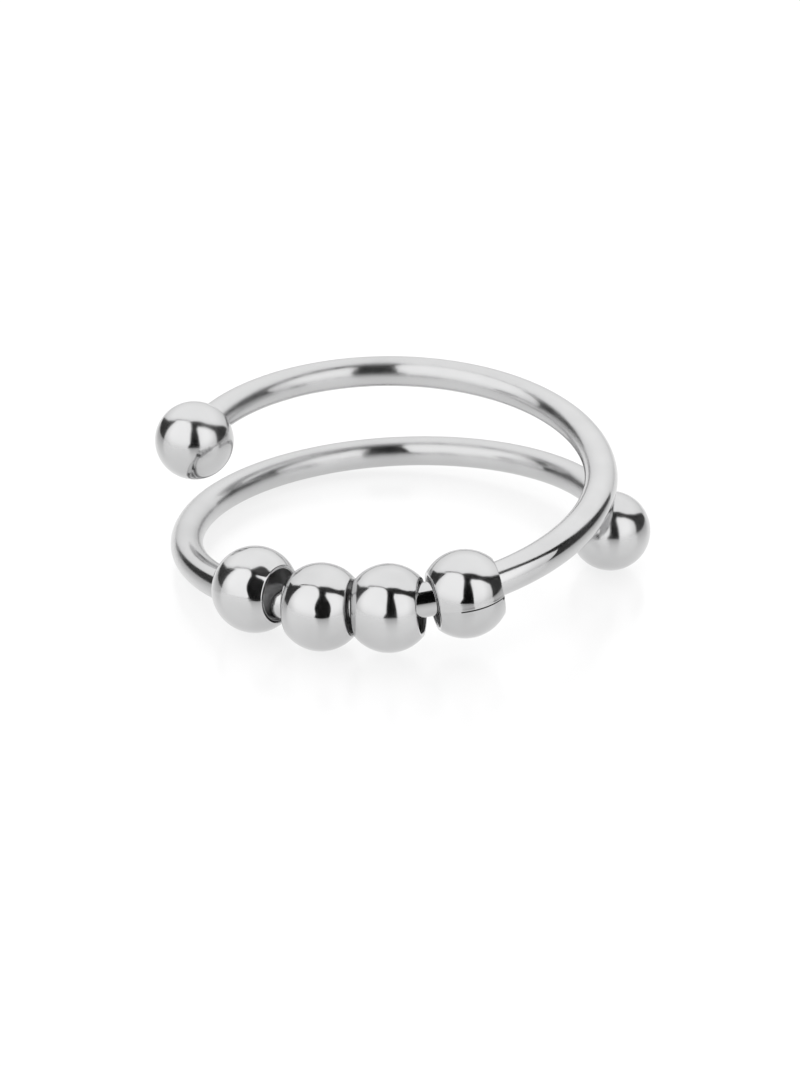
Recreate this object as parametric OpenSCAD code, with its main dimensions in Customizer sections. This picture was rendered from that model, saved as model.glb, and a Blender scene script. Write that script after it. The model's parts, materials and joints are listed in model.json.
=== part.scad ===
// Open spinner ring. One springy wire is coiled a turn and a half round the finger, a ball is
// soldered on each of its ends, and four loose hollow beads ride on the front of the wire.
// Millimetres. +X runs to the right along the front of the ring, +Y away from the beads, +Z up.
// The ring lies on z = 0 the way it comes to rest by itself: on its lower end ball, on the back
// of its lower turn and on the beads that reach down to the surface. The origin is the middle
// of its outline on that surface.

/* [Wire] */
// Diameter of the round wire
wire_d = 1.5; // [1.2:0.05:1.8]
// Inside diameter of the coil, which is the ring size
inner_d = 18.1; // [15:0.1:22]

/* [End balls] */
// Diameter of the ball soldered on each end of the wire
end_ball_d = 3.7; // [2.8:0.05:4.4]
// Least gap between the lower end ball and the turn that passes above it
ball_gap = 0.08; // [0.05:0.01:0.3]
// Radius of the solder that runs from each ball onto the wire
solder_r = 0.3; // [0.15:0.05:0.4]

/* [Beads] */
// Diameter of a loose bead
bead_d = 3.8; // [3.4:0.05:4.4]
// Play between the wire and the hole of a bead, all round
bead_play = 0.37; // [0.3:0.01:0.45]
// Wall of the hollow bead
bead_wall = 0.25; // [0.15:0.01:0.4]
// Flat lip round each hole of a bead
bead_lip = 0.15; // [0.08:0.01:0.25]
// How far a bead hangs below the middle of the wire
bead_hang = 0.2; // [0:0.01:0.2]
// How much of the play is left over where the surface pushes a bead up against the wire
bead_clear = 0.08; // [0.05:0.01:0.1]

/* [Placing] */
// Middle of the row of beads, in degrees along the coil from its upper end
row_middle = 270; // [262:1:278]
// Direction in which the wire leaves its upper end, seen from above, in degrees from +X
start_heading = 79; // [70:0.5:90]
// How steeply the wire climbs there as the ring lies at rest, in degrees
start_climb = 5.1; // [4.5:0.05:5.7]
// How far the first bend is banked as the ring lies at rest, in degrees
start_bank = 0.65; // [-1:0.05:2]

/* [Hidden] */
$fn = 72;

wire_r = wire_d / 2;
coil_r = inner_d / 2 + wire_r;
end_ball_r = end_ball_d / 2;
bead_r = bead_d / 2;
bead_hole_r = wire_r + bead_play;
lip_r = bead_hole_r + bead_lip;
bead_half = sqrt(bead_r * bead_r - lip_r * lip_r);

// The solder stands this far proud of the wire where it stops, and reaches this far into a ball
solder_edge = 0.06;
solder_sink = 0.1;

// How far the coil has to open for the lower end ball to lie beside the turn above it, as an
// angle at the middle of the coil
turn_climb = asin((end_ball_r + wire_r + ball_gap) / coil_r);

// The bends of the wire, from its upper end to its lower one. Each row has the radius of the
// bend as a share of the coil's, its sweep in degrees, and the roll of the wire before it as a
// share of the climb. The coil climbs most steeply at its front.
BEND_SHARE = 0;
BEND_SWEEP = 1;
BEND_ROLL = 2;
bends = [
    [0.94, 90, 0],
    [1.02, 90, 0.13],
    [0.965, 90, 0.44],
    [1.045, 90, 0.54],
    [1.03, 90, 0.22],
    [1, 90, -0.03],
];

// The beads, from left to right. Each row has how far the bead is turned from the run of the
// wire, in degrees, positive where its left end turns outwards, and the gap that it leaves to
// the next bead, measured between their inner rims. The middle two stand nearly face to face.
BEAD_LEAN = 0;
BEAD_GAP = 1;
beads = [
    [4.5, 0.04],
    [6.5, 0.05],
    [-6.5, 0.18],
    [-4.5, 0],
];

// Step between the points that measure the coil's outline, in degrees
outline_step = 3;

// Frames. A frame is a 4 by 4 matrix: x runs along the wire, y points away from the middle of
// its bend and z is the axis of the bend.
function roll_by(a) = [[1, 0, 0, 0], [0, cos(a), -sin(a), 0], [0, sin(a), cos(a), 0], [0, 0, 0, 1]];
function climb_by(a) = [[cos(a), 0, -sin(a), 0], [0, 1, 0, 0], [sin(a), 0, cos(a), 0], [0, 0, 0, 1]];
function head_by(a) = [[cos(a), -sin(a), 0, 0], [sin(a), cos(a), 0, 0], [0, 0, 1, 0], [0, 0, 0, 1]];
function inwards_by(d) = [[1, 0, 0, 0], [0, 1, 0, -d], [0, 0, 1, 0], [0, 0, 0, 1]];
function along_bend(r, a) =
    [[cos(a), sin(a), 0, r * sin(a)], [-sin(a), cos(a), 0, r * cos(a) - r], [0, 0, 1, 0], [0, 0, 0, 1]];
function origin_of(m) = [m[0][3], m[1][3], m[2][3]];
function bend_r(i) = coil_r * bends[i][BEND_SHARE];
function bend_roll(i) = turn_climb * bends[i][BEND_ROLL];

// Frame of the wire at an angle along the coil, before the ring is set down on its surface
function frame_at(a, i = 0, m = head_by(start_heading) * climb_by(start_climb) * roll_by(start_bank)) =
    let (rolled = m * roll_by(bend_roll(i)), sweep = bends[i][BEND_SWEEP])
    a <= sweep || i == len(bends) - 1
        ? rolled * along_bend(bend_r(i), a)
        : frame_at(a - sweep, i + 1, rolled * along_bend(bend_r(i), sweep));

// Angle at the middle of the coil from a bead's centre to its farthest rim on one side, when
// the bead is turned so that its end on that side goes outwards
function reach(turn) = max(
    atan2(bead_half * cos(turn) + lip_r * sin(turn), coil_r - lip_r * cos(turn) + bead_half * sin(turn)),
    atan2(bead_half * cos(turn) - lip_r * sin(turn), coil_r + lip_r * cos(turn) + bead_half * sin(turn)));

// Angle between a bead and the next one
function bead_step(i) =
    reach(-beads[i][BEAD_LEAN]) + reach(beads[i + 1][BEAD_LEAN])
    + atan2(beads[i][BEAD_GAP], coil_r - lip_r);

// Places of the beads along the coil. The middle of the row lies between the middle two.
second_place = row_middle + bead_step(1) / 2;
third_place = row_middle - bead_step(1) / 2;
bead_places = [second_place + bead_step(0), second_place, third_place, third_place - bead_step(2)];

// How far a bead's middle lies inside the wire's, so that the curved wire runs through the
// middle of its straight hole
bead_inset = (coil_r - sqrt(coil_r * coil_r - bead_half * bead_half)) / 2;

// How the ring comes down on its surface: on the end ball, on the wire or on a bead that is
// pushed up nearly as far as its hole allows
function sum_of(list, i = 0) = i < len(list) ? list[i] + sum_of(list, i + 1) : 0;
coil_sweep = sum_of([for (bend = bends) bend[BEND_SWEEP]]);
outline = [for (a = [0:outline_step:coil_sweep]) origin_of(frame_at(a))];
upper_end = outline[0];
lower_end = origin_of(frame_at(coil_sweep));
wire_spots = [for (a = bead_places) origin_of(frame_at(a))];
bead_spots = [for (a = bead_places) origin_of(frame_at(a) * inwards_by(bead_inset))];
lift = -min(
    lower_end.z - end_ball_r,
    min([for (p = outline) p.z]) - wire_r,
    min([for (p = wire_spots) p.z]) + bead_play - bead_clear - bead_r);

// Middle of the ring's outline as seen from above
function middle(low, high) = (min(low) + max(high)) / 2;
centre_x = middle(
    [upper_end.x - end_ball_r, for (p = outline) p.x - wire_r],
    [lower_end.x + end_ball_r, for (p = outline) p.x + wire_r]);
centre_y = middle(
    [for (p = bead_spots) p.y - bead_r],
    [for (p = outline) p.y + wire_r]);
placing = [-centre_x, -centre_y, lift];

// One bend of the wire. It starts on the +Y side of its middle, where the frame stands.
module wire_bend(i) {
    translate([0, -bend_r(i), 0])
        rotate([0, 0, 90 - bends[i][BEND_SWEEP]])
            rotate_extrude(angle = bends[i][BEND_SWEEP])
                translate([bend_r(i), 0])
                    circle(d = wire_d);
}

// The wire from one of its bends to its lower end, each bend starting where the last one stops
module wire_from(i) {
    rotate([bend_roll(i), 0, 0]) {
        wire_bend(i);
        translate([0, -bend_r(i), 0])
            rotate([0, 0, -bends[i][BEND_SWEEP]])
                translate([0, bend_r(i), 0])
                    if (i + 1 < len(bends)) wire_from(i + 1);
                    else end_ball(180 + solder_turn(i));
    }
}

// How far the solder is turned from the end of the wire, because the wire has already bent a
// little where it comes out of the ball
function solder_turn(i) = asin(end_ball_r / (2 * bend_r(i)));

// Solder round the wire, hollow in section, with the ball's middle at the origin and the wire
// running out along z
module solder() {
    foot_r = wire_r + solder_r + solder_edge;
    top = sqrt(pow(end_ball_r + solder_r, 2) - foot_r * foot_r);
    ball_share = end_ball_r / (end_ball_r + solder_r);
    rotate_extrude()
        difference() {
            translate([0, top * ball_share - solder_sink])
                square([foot_r * ball_share, top * (1 - ball_share) + solder_sink]);
            translate([foot_r, top])
                circle(r = solder_r);
        }
}

module end_ball(wire_turn) {
    rotate([0, 0, wire_turn])
        rotate([0, 90, 0]) {
            sphere(d = end_ball_d);
            solder();
        }
}

module shank() {
    color("silver")
        translate(placing)
            rotate([0, 0, start_heading])
                rotate([0, -start_climb, 0])
                    rotate([start_bank, 0, 0]) {
                        end_ball(-solder_turn(0));
                        wire_from(0);
                    }
}

// A hollow ball cut flat at both ends of its hole, with the hole along x
module hollow_bead() {
    rotate([0, 90, 0])
        difference() {
            intersection() {
                sphere(r = bead_r);
                cylinder(r = bead_d, h = 2 * bead_half, center = true);
            }
            sphere(r = bead_r - bead_wall);
            cylinder(r = bead_hole_r, h = 2 * bead_d, center = true);
        }
}

// A bead on the wire. It hangs on the wire unless the surface below holds it up.
module bead(i) {
    wire_z = wire_spots[i].z + lift;
    bead_z = max(bead_r, wire_z - bead_hang);
    color("silver")
        translate([placing.x, placing.y, lift + bead_z - wire_z])
            multmatrix(frame_at(bead_places[i]) * inwards_by(bead_inset))
                rotate([0, 0, beads[i][BEAD_LEAN]])
                    hollow_bead();
}

module bead_1() { bead(0); }
module bead_2() { bead(1); }
module bead_3() { bead(2); }
module bead_4() { bead(3); }

shank();
bead_1();
bead_2();
bead_3();
bead_4();
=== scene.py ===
import json
import math

import bmesh
import bpy
from mathutils import Matrix, Vector

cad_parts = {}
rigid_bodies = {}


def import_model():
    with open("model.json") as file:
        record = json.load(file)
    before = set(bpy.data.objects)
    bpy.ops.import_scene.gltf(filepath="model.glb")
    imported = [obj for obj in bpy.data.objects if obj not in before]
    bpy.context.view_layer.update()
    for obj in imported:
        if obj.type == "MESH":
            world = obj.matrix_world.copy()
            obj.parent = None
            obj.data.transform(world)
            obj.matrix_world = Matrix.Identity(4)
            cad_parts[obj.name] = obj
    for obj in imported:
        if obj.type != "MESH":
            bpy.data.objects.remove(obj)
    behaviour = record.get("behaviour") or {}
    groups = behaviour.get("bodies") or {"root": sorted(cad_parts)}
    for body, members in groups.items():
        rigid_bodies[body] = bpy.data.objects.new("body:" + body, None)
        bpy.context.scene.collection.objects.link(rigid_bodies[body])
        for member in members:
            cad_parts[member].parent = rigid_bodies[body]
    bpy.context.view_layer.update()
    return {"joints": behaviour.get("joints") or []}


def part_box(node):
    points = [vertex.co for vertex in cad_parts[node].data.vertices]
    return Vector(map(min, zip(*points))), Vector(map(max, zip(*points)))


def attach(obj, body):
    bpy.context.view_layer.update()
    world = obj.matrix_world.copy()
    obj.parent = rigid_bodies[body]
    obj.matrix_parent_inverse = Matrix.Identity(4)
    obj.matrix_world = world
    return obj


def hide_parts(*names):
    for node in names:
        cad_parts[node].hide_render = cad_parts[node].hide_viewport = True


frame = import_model()

# Spinner ring: one springy wire coiled a turn and a half, a ball soldered on each of its ends,
# and four loose hollow beads on its front. Metres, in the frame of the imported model.
MM = 0.001

# How near points lie that meet, that are joined in a bead's section, and that are on a cut
HAIR = 1e-6
JOINED = 5 * HAIR
ON_CUT = 1e-9

# The wire and the balls on its ends, and how it leaves its upper end, in degrees. The solder
# reaches so far from a ball's middle, and a ball's finish so far past the ball.
wire_r = 0.75 * MM
coil_r = 9.8 * MM
end_ball_r = 1.85 * MM
ball_gap = 0.08 * MM
solder_r = 0.3 * MM
solder_reach = math.sqrt((end_ball_r + solder_r) ** 2 - (wire_r + solder_r) ** 2)
ball_finish_reach = 0.075 * MM
start_heading = 79
start_climb = 5.1
start_bank = 0.65

# The bends of the wire, from its upper end to its lower one. Each row has the radius as a share
# of the coil's, the sweep in degrees, and the roll before the bend as a share of the climb.
BEND_SHARE = 0
BEND_SWEEP = 1
BEND_ROLL = 2
bends = [
    [0.94, 90, 0],
    [1.02, 90, 0.13],
    [0.965, 90, 0.44],
    [1.045, 90, 0.54],
    [1.03, 90, 0.22],
    [1, 90, -0.03],
]
turn_climb = math.asin((end_ball_r + wire_r + ball_gap) / coil_r)

# The loose beads. Each row has where the seam lies, in degrees from the bead's front over its
# top, how proud it stands, and where along the bead's hole the painted shade under it starts
# (a near-black line that stands in for the shade below the seam's ridge), which is past the
# bead's end where there is none. The inside's finish starts inside_depth below the outside, and
# a face that leans from a lip by less than lip_lean, in degrees, is a lip's.
bead_r = 1.9 * MM
bead_hole_r = 1.12 * MM
bead_lip = 0.15 * MM
bead_wall = 0.25 * MM
inside_depth = 0.15 * MM
lip_round = 0.065 * MM
lip_lean = 20
seam_width = 0.14 * MM
SEAM_TURN = 0
SEAM_PROUD = 1
SEAM_PAINTED_SHADE = 2
beads = {
    "bead_1": [17, 0.006 * MM, 2 * MM],
    "bead_2": [150, 0.003 * MM, 2 * MM],
    "bead_3": [205, 0.003 * MM, 2 * MM],
    "bead_4": [8, 0.015 * MM, -0.6 * MM],
}

# The finishes of the faces, in the order in which a piece gets its materials
WIRE = 0
BALL = 1
OUTSIDE = 0
INSIDE = 1
# A bead's third finish is painted shade: near-black steel in a thin band below the seam
PAINTED_SHADE = 2

# Where the beads are pressed a little flat. Each row has the bead, the side in degrees to the
# right of its front, the height in degrees, how far the flat reaches and how deep it is.
flats = [
    ["bead_1", 8, 27, 0.65 * MM, 0.06 * MM],
    ["bead_1", 20, 49, 0.45 * MM, 0.03 * MM],
    ["bead_2", 3, 24, 0.5 * MM, 0.03 * MM],
]

# How finely the round surfaces are divided, in sides, degrees and steps. Another number of
# sides for a bead's section can leave a sliver beside its lip, which the lip's bevel overshoots.
wire_sides = 72
bend_step = 2
solder_rings = 6
ball_rings = 48
section_sides = 116
lip_segments = 5
bead_steps = 120

# The photograph's view of the ring, in its own pixels, degrees and metres. The sensor is the
# camera's own, in its millimetres.
photo_height = 1067
focal_length = 1989
sensor = 36
look_down = 24.816
look_right = 0.341
camera_place = (-0.000529, -0.084640, 0.040346)

# The studio is a light tent: how far off its dark parts stand, and how bright its wall is. Light
# rows have the sine of a height and the share of the light there.
studio_r = 2.5
floor_size = 6
tent_light = 1.31
wall_light = [(0, 0.56), (0.17, 0.78), (0.33, 0.88), (0.6, 1)]
# The light through the tent's mouth, as a share of the wall's, and how it falls off from its
# middle: the way to its middle, and the cosines where the fall ends and starts
mouth_light = [(0, 0.93), (0.1, 1.02), (0.2, 1.08), (0.35, 1.12)]
mouth_middle = (-0.18, -0.847, 0.5)
mouth_edge = 0.14
mouth_core = 0.53
mouth_edge_light = 0.7
# The mouth's plane: the way that it faces into the tent, its reach from the ring, and how far
# the wall's light fades into the mouth's
mouth_facing = (0.127, 0.723, 0.679)
mouth_reach = 0.5626
mouth_blur = 0.02

# The tent's dark parts. Each row has a side, in degrees to the right of the camera, and the
# heights in degrees of the lower and the upper edge there, as the ring sees them.
CARD_SIDE = 0
CARD_LOW = 1
CARD_HIGH = 2
tent_mouth = [
    [-108, 41, 47],
    [-95, 57, 62],
    [-80, 68, 72],
    [-60, 74, 76.5],
    [-30, 74, 77.5],
    [-14, 70, 80],
    [-8, 60, 80],
    [22, 55, 80],
    [30, 61, 79],
    [45, 56, 77],
    [60, 50, 73],
    [70, 41, 67],
    [75, 35, 59],
    [80, 28, 53],
    [85, 24, 47],
    [90, 22, 44],
    [100, 14, 34],
    [110, 8, 26],
    [130, -2, 8],
]
camera_stand = [[-14, -4, 1], [-11, -4, 7], [-7, -4, 13], [-6, -4, 70], [20, -4, 66], [21, -4, 3]]
left_flag = [[-150, -3, 0], [-120, -3, 26], [-98, -3, 48], [-95, -3, 0]]
right_flag = [[72, -3, 0], [77, -3, 14], [82, -3, 32], [100, -3, 26], [130, -3, 1]]

# The studio's finishes
card_roughness = 0.9
glaze_roughness = 0.25

# The steel: its tint, and the size of its marks in features to the metre and in metres. The
# film's two ends are shares of the tint and of the haze, and the hairlines run level round the
# coil. A pit lies where its pattern is under the second value, and is deepest under the first.
# The wire's haze is turned a quarter, from along it to across it.
steel_tint = (0.56, 0.56, 0.563)
film_scale = 420
film_tint = (0.94, 1.04)
film_haze = (0.7, 1.3)
wave_scale = 520
wave_depth = 0.012 * MM
hairline_scale = 2500
hairline_stretch = (0.25, 0.25, 4)
hairline_depth = 0.00015 * MM
pit_scale = 3600
pit_edge = (0.14, 0.24)
pit_depth = 0.0006 * MM
across_wire = 0.25

# The sockets of a node that mixes two colours
FIRST_COLOUR = 6
SECOND_COLOUR = 7
MIXED_COLOUR = 2


def start_piece(name):
    """Names the primitive that was just added, puts its place in its mesh and opens it."""
    piece = bpy.context.object
    piece.name = name
    piece.data.name = name
    bpy.ops.object.transform_apply(location=True, rotation=True, scale=True)
    bpy.ops.object.mode_set(mode="EDIT")
    bpy.ops.mesh.select_mode(type="VERT")
    bpy.ops.mesh.select_all(action="SELECT")
    return piece


def select_points(piece, wanted):
    """Selects the points of the open piece for which wanted(point) is true."""
    mesh = bmesh.from_edit_mesh(piece.data)
    chosen = [point.index for point in mesh.verts if wanted(point)]
    select_numbers(piece, chosen)
    return chosen


def select_numbers(piece, chosen):
    """Selects points of the open piece by their numbers."""
    bpy.ops.mesh.select_all(action="DESELECT")
    mesh = bmesh.from_edit_mesh(piece.data)
    mesh.verts.ensure_lookup_table()
    for number in chosen:
        mesh.verts[number].select = True
    mesh.select_flush(True)
    bmesh.update_edit_mesh(piece.data)


def close_piece():
    """Joins the points that meet, turns the faces outwards and leaves the piece smooth."""
    bpy.ops.mesh.select_all(action="SELECT")
    bpy.ops.mesh.remove_doubles(threshold=HAIR)
    bpy.ops.mesh.normals_make_consistent(inside=False)
    bpy.ops.object.mode_set(mode="OBJECT")
    bpy.ops.object.shade_smooth()


def put_in_place(piece, place):
    """Turns and moves a closed piece, and leaves its object at the origin."""
    piece.matrix_world = place
    bpy.ops.object.transform_apply(location=True, rotation=True, scale=True)


def along_bend(radius, angle):
    """The step of a frame that runs along a bend."""
    out = Matrix.Translation((0, radius, 0))
    back = Matrix.Translation((0, -radius, 0))
    return back @ Matrix.Rotation(-angle, 4, "Z") @ out


def wire_frames():
    """Frame of the wire at the start of each bend and at its lower end: x runs along the wire,
    y points away from the middle of the bend, and z is the axis of the bend."""
    place = (
        Matrix.Rotation(math.radians(start_heading), 4, "Z")
        @ Matrix.Rotation(-math.radians(start_climb), 4, "Y")
        @ Matrix.Rotation(math.radians(start_bank), 4, "X")
    )
    frames = []
    for bend in bends:
        place = place @ Matrix.Rotation(turn_climb * bend[BEND_ROLL], 4, "X")
        frames.append(place)
        place = place @ along_bend(coil_r * bend[BEND_SHARE], math.radians(bend[BEND_SWEEP]))
    return frames + [place]


def bend_wire(start, radius, angle):
    """Sweeps the selected ring of points round one bend of the wire."""
    bpy.ops.mesh.spin(
        steps=round(math.degrees(angle) / bend_step),
        angle=angle,
        center=start @ Vector((0, -radius, 0)),
        axis=start.to_3x3() @ Vector((0, 0, 1)),
    )


def turn_ring(centre, direction, next_direction):
    """Adds a ring where the tube ends, turned to its next direction."""
    bpy.ops.mesh.spin(
        steps=1,
        angle=direction.angle(next_direction),
        center=centre,
        axis=next_direction.cross(direction).normalized(),
    )


def solder_ball(ball_centre, wire_end, direction):
    """Runs solder from the wire's last ring, which leads in a direction, out onto the ball, and
    closes the ball."""
    away = (wire_end - ball_centre).normalized()
    solder_middle = wire_r + solder_r
    foot = math.acos(solder_middle / (end_ball_r + solder_r))
    here = wire_end
    radius = wire_r
    for step in range(1, solder_rings + 1):
        turned = direction.lerp(-away, 1 / (solder_rings + 1 - step)).normalized()
        turn_ring(here, direction, turned)
        direction = turned
        angle = foot * step / solder_rings
        there = ball_centre + away * (solder_reach - solder_r * math.sin(angle))
        growth = (solder_middle - solder_r * math.cos(angle)) / radius
        bpy.ops.transform.translate(value=there - here)
        bpy.ops.transform.resize(value=(growth, growth, growth), center_override=there)
        here = there
        radius *= growth
    first = math.pi / 2 - foot
    for step in range(1, ball_rings):
        angle = first + (math.pi - first) * step / ball_rings
        there = ball_centre + away * end_ball_r * math.cos(angle)
        growth = end_ball_r * math.sin(angle) / radius
        bpy.ops.mesh.extrude_region_move(TRANSFORM_OT_translate={"value": there - here})
        bpy.ops.transform.resize(value=(growth, growth, growth), center_override=there)
        here = there
        radius *= growth
    pole = ball_centre - away * end_ball_r
    bpy.ops.mesh.extrude_region_move(TRANSFORM_OT_translate={"value": pole - here})
    bpy.ops.mesh.merge(type="CENTER")


def shank():
    """The coiled wire with a ball soldered on each end, one closed skin. The balls are its
    second material."""
    frames = wire_frames()
    radii = [coil_r * bend[BEND_SHARE] for bend in bends]
    sweeps = [math.radians(bend[BEND_SWEEP]) for bend in bends]
    upper_cut = 2 * math.asin(solder_reach / (2 * radii[0]))
    lower_cut = 2 * math.asin(solder_reach / (2 * radii[-1]))
    upper = frames[0] @ along_bend(radii[0], upper_cut)
    lower = frames[-2] @ along_bend(radii[-1], sweeps[-1] - lower_cut)
    sweeps[0] -= upper_cut
    sweeps[-1] -= lower_cut

    bpy.ops.object.select_all(action="DESELECT")
    bpy.ops.mesh.primitive_circle_add(
        vertices=wire_sides,
        radius=wire_r,
        location=upper.translation,
        rotation=(upper @ Matrix.Rotation(math.radians(90), 4, "Y")).to_euler(),
    )
    piece = start_piece("coiled_wire")
    starts = [upper] + frames[1:-1]
    for start, radius, sweep in zip(starts, radii, sweeps):
        bend_wire(start, radius, sweep)
    solder_ball(frames[-1].translation, lower.translation, lower.to_3x3() @ Vector((1, 0, 0)))
    near = 2 * wire_r
    select_points(piece, lambda p: p.is_boundary and (p.co - upper.translation).length < near)
    solder_ball(frames[0].translation, upper.translation, upper.to_3x3() @ Vector((-1, 0, 0)))
    close_piece()
    balls = [frames[0].translation, frames[-1].translation]
    for face in piece.data.polygons:
        nearest = min((face.center - ball).length for ball in balls)
        face.material_index = BALL if nearest < end_ball_r + ball_finish_reach else WIRE

    low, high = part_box("shank")
    put_in_place(piece, Matrix.Translation((low + high) / 2 - middle_of(piece)))
    return piece


def middle_of(piece):
    """The middle of a piece's box."""
    sides = list(zip(*[point.co for point in piece.data.vertices]))
    return Vector([(min(side) + max(side)) / 2 for side in sides])


def cut_arc(half):
    """Leaves, of the circle that is selected, its arc between -half and half on the +y side."""
    for side in (1, -1):
        bpy.ops.mesh.bisect(
            plane_co=(side * half, 0, 0), plane_no=(side, 0, 0), clear_outer=True, threshold=ON_CUT
        )
        bpy.ops.mesh.select_linked()
    bpy.ops.mesh.bisect(
        plane_co=(0, 0, 0), plane_no=(0, -1, 0), clear_outer=True, threshold=ON_CUT
    )


def bead_section(name):
    """The section of a hollow bead on one side of its hole: outside, rounded lips and inside."""
    lip_r = bead_hole_r + bead_lip
    half = math.sqrt(bead_r**2 - lip_r**2)
    inside_r = bead_r - bead_wall
    inside_half = math.sqrt(inside_r**2 - bead_hole_r**2)
    bpy.ops.object.select_all(action="DESELECT")
    bpy.ops.mesh.primitive_circle_add(vertices=section_sides, radius=bead_r)
    piece = start_piece(name)
    cut_arc(half)
    for side in (1, -1):
        select_points(piece, lambda p: p.co.x * side > half - HAIR)
        bpy.ops.mesh.extrude_region_move(TRANSFORM_OT_translate={"value": (0, -bead_lip, 0)})
        inwards = side * (inside_half - half)
        bpy.ops.mesh.extrude_region_move(TRANSFORM_OT_translate={"value": (inwards, 0, 0)})
    select_points(piece, lambda p: abs(p.co.x) > half - HAIR)
    bpy.ops.mesh.bevel(affect="VERTICES", offset=lip_round, segments=lip_segments)
    bpy.ops.mesh.select_all(action="DESELECT")
    bpy.ops.mesh.primitive_circle_add(vertices=section_sides, radius=inside_r)
    cut_arc(inside_half)
    bpy.ops.mesh.select_all(action="SELECT")
    bpy.ops.mesh.remove_doubles(threshold=JOINED)
    return piece


def spin_section(steps, angle):
    """Sweeps the selected section round the hole of a bead."""
    bpy.ops.mesh.spin(steps=steps, angle=angle, center=(0, 0, 0), axis=(1, 0, 0))


def resize_skin(piece, share):
    """Moves the outside of the selected section in or out."""
    section = select_points(piece, lambda p: p.select)
    select_points(piece, lambda p: p.select and p.co.length > bead_r - seam_width)
    bpy.ops.transform.resize(value=(share, share, share), center_override=(0, 0, 0))
    select_numbers(piece, section)


def press_flat(piece, middle, side, height, reach, depth):
    """Presses a part of the open piece a little flat towards a middle."""
    outwards = seen_at(side, height).normalized()
    spot = middle + outwards * bead_r
    mesh = bmesh.from_edit_mesh(piece.data)
    nearest = min(mesh.verts, key=lambda p: (p.co - spot).length)
    select_numbers(piece, [nearest.index])
    bpy.ops.transform.translate(
        value=outwards * -depth,
        use_proportional_edit=True,
        proportional_edit_falloff="SMOOTH",
        proportional_size=reach,
    )


def bead_finish(face, painted_shade_start):
    """Which finish a face of a bead has, while the seam still lies on the bead's +y side. A thin
    band just below the seam, off the lips, gets the painted shade.
    """
    if face.center.length < bead_r - inside_depth:
        return INSIDE
    under_seam = face.center.y > 0 and seam_width / 2 < face.center.z < seam_width
    on_lip = abs(face.normal.x) > math.cos(math.radians(lip_lean))
    # Painted shade: the band under the seam, off the lips and past its start along the hole
    painted_shade_here = under_seam and not on_lip and face.center.x > painted_shade_start
    return PAINTED_SHADE if painted_shade_here else OUTSIDE


def bead(name):
    """A hollow bead: its section spun round the hole, with a fine seam along one side."""
    piece = bead_section(name + "_shell")
    seam_turn = seam_width / 2 / bead_r
    proud = 1 + beads[name][SEAM_PROUD] / bead_r
    bpy.ops.mesh.select_all(action="SELECT")
    spin_section(bead_steps, 2 * (math.pi - seam_turn))
    spin_section(1, seam_turn)
    resize_skin(piece, proud)
    spin_section(1, seam_turn)
    resize_skin(piece, 1 / proud)
    close_piece()
    for face in piece.data.polygons:
        face.material_index = bead_finish(face, beads[name][SEAM_PAINTED_SHADE])

    joint = next(joint for joint in frame["joints"] if joint["child"] == name)
    along = Vector(joint["axis"]).normalized()
    top = (Vector((0, 0, 1)) - along * along.z).normalized()
    turn = Matrix((along, top.cross(along), top)).transposed().to_4x4()
    seam_side = Matrix.Rotation(math.radians(180 - beads[name][SEAM_TURN]), 4, "X")
    put_in_place(piece, Matrix.Translation(joint["pos_m"]) @ turn @ seam_side)
    bpy.ops.object.mode_set(mode="EDIT")
    for pressed, *flat in flats:
        if pressed == name:
            press_flat(piece, Vector(joint["pos_m"]), *flat)
    bpy.ops.object.mode_set(mode="OBJECT")
    return piece


def put(tree, kind, **values):
    """Adds a node to a tree and sets its sockets, named with underscores for spaces."""
    node = tree.nodes.new("ShaderNode" + kind)
    for name, value in values.items():
        node.inputs[name.replace("_", " ")].default_value = value
    return node


def noise(tree, place, scale, detail):
    """A soft pattern with so many features to the metre, from 0 to 1."""
    pattern = put(tree, "TexNoise", Scale=scale, Detail=detail)
    tree.links.new(place, pattern.inputs["Vector"])
    return pattern.outputs["Fac"]


def spread(tree, value, low, high, start=0.3, stop=0.7):
    """Maps a value between start and stop onto low to high."""
    spread_node = put(tree, "MapRange", From_Min=start, From_Max=stop, To_Min=low, To_Max=high)
    tree.links.new(value, spread_node.inputs["Value"])
    return spread_node.outputs["Result"]


def times(tree, first, second):
    """The product of two values."""
    product = tree.nodes.new("ShaderNodeMath")
    product.operation = "MULTIPLY"
    tree.links.new(first, product.inputs[0])
    tree.links.new(second, product.inputs[1])
    return product.outputs["Value"]


def bump(tree, height, depth, under=None):
    """Turns a height from 0 to 1 into relief of a depth, on top of other relief."""
    relief = put(tree, "Bump", Distance=depth)
    tree.links.new(height, relief.inputs["Height"])
    if under:
        tree.links.new(under, relief.inputs["Normal"])
    return relief.outputs["Normal"]


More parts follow.
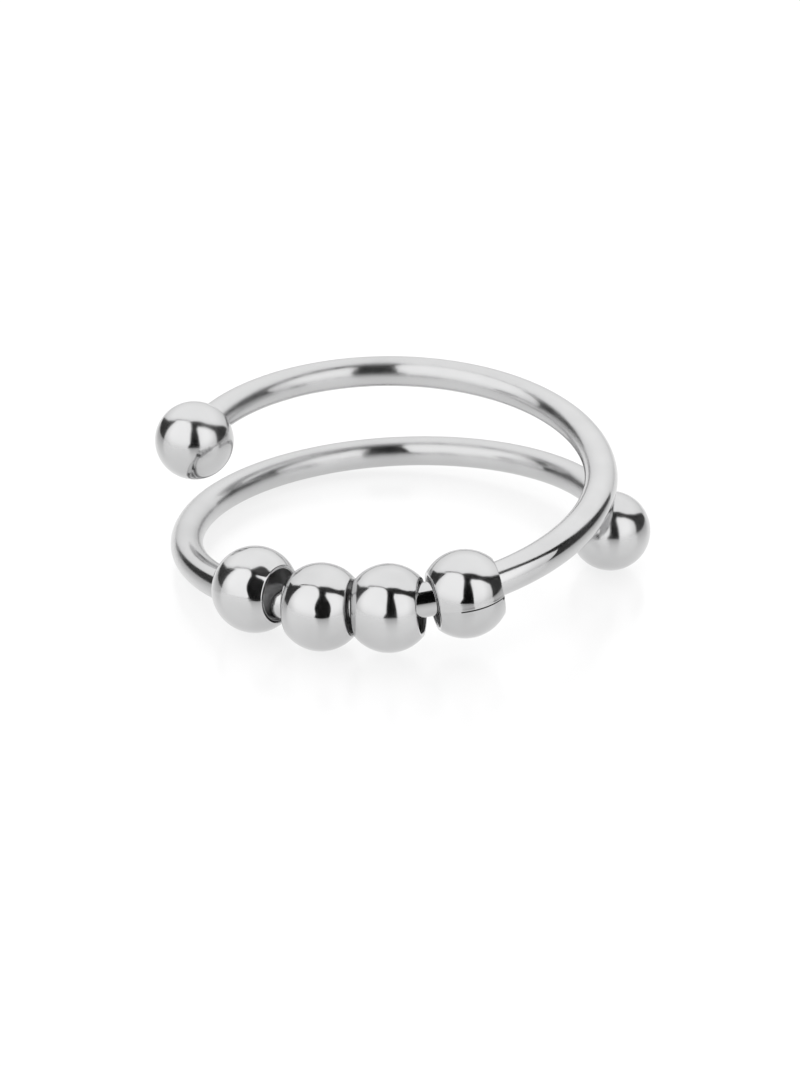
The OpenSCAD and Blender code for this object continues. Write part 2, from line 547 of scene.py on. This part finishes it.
def steel(name, front_haze, back_haze, shade=1, drawn=0):
    """Polished stainless steel, hazier at the back of the ring than where the beads rub it. It
    has a film of handling marks, fine hairlines, small pits and a skin that isn't quite even.
    Drawn wire is hazier across its length than along it."""
    material = bpy.data.materials.new(name)
    material.use_nodes = True
    tree = material.node_tree
    shader = tree.nodes["Principled BSDF"]
    place = put(tree, "TexCoord").outputs["Object"]

    parts = put(tree, "SeparateXYZ")
    tree.links.new(place, parts.inputs["Vector"])
    haze = spread(tree, parts.outputs["Y"], front_haze, back_haze, -coil_r, coil_r)
    film = noise(tree, place, film_scale, detail=4)
    roughness = times(tree, haze, spread(tree, film, *film_haze))

    stretched = put(tree, "Mapping", Scale=hairline_stretch)
    tree.links.new(place, stretched.inputs["Vector"])
    hairlines = noise(tree, stretched.outputs["Vector"], hairline_scale, detail=2)
    pits = spread(tree, noise(tree, place, pit_scale, detail=1), 1, 0, *pit_edge)

    colour = put(tree, "Mix")
    colour.data_type = "RGBA"
    for socket, share in zip((FIRST_COLOUR, SECOND_COLOUR), film_tint):
        colour.inputs[socket].default_value = [part * shade * share for part in steel_tint] + [1]
    tree.links.new(spread(tree, film, 0, 1), colour.inputs["Factor"])

    relief = bump(tree, noise(tree, place, wave_scale, detail=1), wave_depth)
    relief = bump(tree, hairlines, hairline_depth, relief)
    relief = bump(tree, pits, pit_depth, relief)
    tree.links.new(colour.outputs[MIXED_COLOUR], shader.inputs["Base Color"])
    tree.links.new(roughness, shader.inputs["Roughness"])
    tree.links.new(relief, shader.inputs["Normal"])
    shader.inputs["Metallic"].default_value = 1
    if drawn:
        shader.inputs["Anisotropic"].default_value = drawn
        shader.inputs["Anisotropic Rotation"].default_value = across_wire
        round_coil = tree.nodes.new("ShaderNodeTangent")
        round_coil.direction_type = "RADIAL"
        round_coil.axis = "Z"
        tree.links.new(round_coil.outputs["Tangent"], shader.inputs["Tangent"])
    return material


def plain(name, shade, glow=0, glaze=0):
    """A plain finish for the studio, dull or under a clear glaze."""
    material = bpy.data.materials.new(name)
    material.use_nodes = True
    shader = material.node_tree.nodes["Principled BSDF"]
    shader.inputs["Base Color"].default_value = (shade, shade, shade, 1)
    shader.inputs["Roughness"].default_value = card_roughness
    shader.inputs["Specular IOR Level"].default_value = 0
    shader.inputs["Coat Weight"].default_value = glaze
    shader.inputs["Coat Roughness"].default_value = glaze_roughness
    shader.inputs["Emission Color"].default_value = (1, 1, 1, 1)
    shader.inputs["Emission Strength"].default_value = glow
    return material


def seen_at(side, height):
    """The point of the studio that the ring sees at so many degrees to the right of the camera
    and so many above the floor."""
    side = math.radians(side)
    height = math.radians(height)
    level = studio_r * math.cos(height)
    return Vector((level * math.sin(side), -level * math.cos(side), studio_r * math.sin(height)))


def card(name, rows, material):
    """A dark card of the studio, bent round the ring. Its grid starts as one spot at the ring,
    and each of its points is then moved out to its place."""
    bpy.ops.object.select_all(action="DESELECT")
    bpy.ops.mesh.primitive_grid_add(x_subdivisions=len(rows) - 1, y_subdivisions=1, size=HAIR)
    piece = start_piece(name)
    for column, row in enumerate(rows):
        for line, edge in enumerate((CARD_LOW, CARD_HIGH)):
            select_numbers(piece, [column + line * len(rows)])
            bpy.ops.transform.translate(value=seen_at(row[CARD_SIDE], row[edge]))
    bpy.ops.object.mode_set(mode="OBJECT")
    piece.data.materials.append(material)
    piece.visible_camera = False


def pale_floor():
    """A glossy white table that glows a little from below."""
    bpy.ops.object.select_all(action="DESELECT")
    bpy.ops.mesh.primitive_plane_add(size=floor_size)
    piece = bpy.context.object
    piece.name = "pale_floor"
    piece.data.materials.append(plain("white_table", shade=0.24, glow=0.8, glaze=1))


def light_by_height(tree, height, rows):
    """A grey that follows the rows of a light from the table to the top of the tent."""
    ramp = tree.nodes.new("ShaderNodeValToRGB")
    for row in rows[1:-1]:
        ramp.color_ramp.elements.new(row[0])
    for stop, (place, light) in zip(ramp.color_ramp.elements, rows):
        stop.position = place
        stop.color = (light, light, light, 1)
    tree.links.new(height, ramp.inputs["Fac"])
    return ramp.outputs["Color"]


def facing(tree, direction, way):
    """The cosine between a direction and a fixed way."""
    product = tree.nodes.new("ShaderNodeVectorMath")
    product.operation = "DOT_PRODUCT"
    product.inputs[1].default_value = way
    tree.links.new(direction, product.inputs[0])
    return product.outputs["Value"]


def light_tent():
    """Soft light from all sides: brightest through the tent's mouth at the front, and dimmer
    towards the table at the back."""
    world = bpy.data.worlds.new("light_tent")
    world.use_nodes = True
    tree = world.node_tree
    direction = put(tree, "TexCoord").outputs["Generated"]
    parts = put(tree, "SeparateXYZ")
    tree.links.new(direction, parts.inputs["Vector"])
    height = parts.outputs["Z"]

    fall = spread(
        tree, facing(tree, direction, mouth_middle), mouth_edge_light, 1, mouth_edge, mouth_core
    )
    mouth = times(tree, light_by_height(tree, height, mouth_light), fall)
    behind = facing(tree, direction, mouth_facing)
    behind = spread(tree, behind, 0, 1, mouth_reach - mouth_blur, mouth_reach + mouth_blur)
    colour = put(tree, "Mix")
    colour.data_type = "RGBA"
    tree.links.new(mouth, colour.inputs[FIRST_COLOUR])
    tree.links.new(light_by_height(tree, height, wall_light), colour.inputs[SECOND_COLOUR])
    tree.links.new(behind, colour.inputs["Factor"])
    tree.links.new(colour.outputs[MIXED_COLOUR], tree.nodes["Background"].inputs["Color"])
    tree.nodes["Background"].inputs["Strength"].default_value = tent_light
    bpy.context.scene.world = world


def camera():
    """The photograph's camera."""
    down = math.radians(look_down)
    right = math.radians(look_right)
    look = Vector((
        math.sin(right) * math.cos(down),
        math.cos(right) * math.cos(down),
        -math.sin(down),
    ))
    bpy.ops.object.select_all(action="DESELECT")
    bpy.ops.object.camera_add(
        location=camera_place, rotation=look.to_track_quat("-Z", "Y").to_euler()
    )
    piece = bpy.context.object
    piece.data.sensor_width = sensor
    piece.data.lens = sensor * focal_length / photo_height
    piece.data.clip_start = MM
    bpy.context.scene.camera = piece


camera()
wire = shank()
wire.data.materials.append(steel("wire_steel", front_haze=0.08, back_haze=0.21, drawn=0.99))
wire.data.materials.append(steel("ball_steel", front_haze=0.15, back_haze=0.15))
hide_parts("shank")
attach(wire, "shank")
bead_steel = steel("bead_steel", front_haze=0.12, back_haze=0.12)
inside_steel = steel("inside_steel", front_haze=0.4, back_haze=0.4, shade=1.2)
# Near-black steel for the band under a bead's seam: painted shade below the seam's ridge
seam_painted_shade = steel("seam_painted_shade", front_haze=0.6, back_haze=0.6, shade=0.06)
for name in beads:
    shell = bead(name)
    shell.data.materials.append(bead_steel)
    shell.data.materials.append(inside_steel)
    shell.data.materials.append(seam_painted_shade)
    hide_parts(name)
    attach(shell, name)

pale_floor()
light_tent()
grey_card = plain("grey_card", shade=0.055)
card("tent_mouth", tent_mouth, plain("dark_card", shade=0.025))
card("camera_stand", camera_stand, plain("black_card", shade=0.004))
card("left_flag", left_flag, grey_card)
card("right_flag", right_flag, grey_card)
bpy.context.scene.view_settings.view_transform = "Standard"
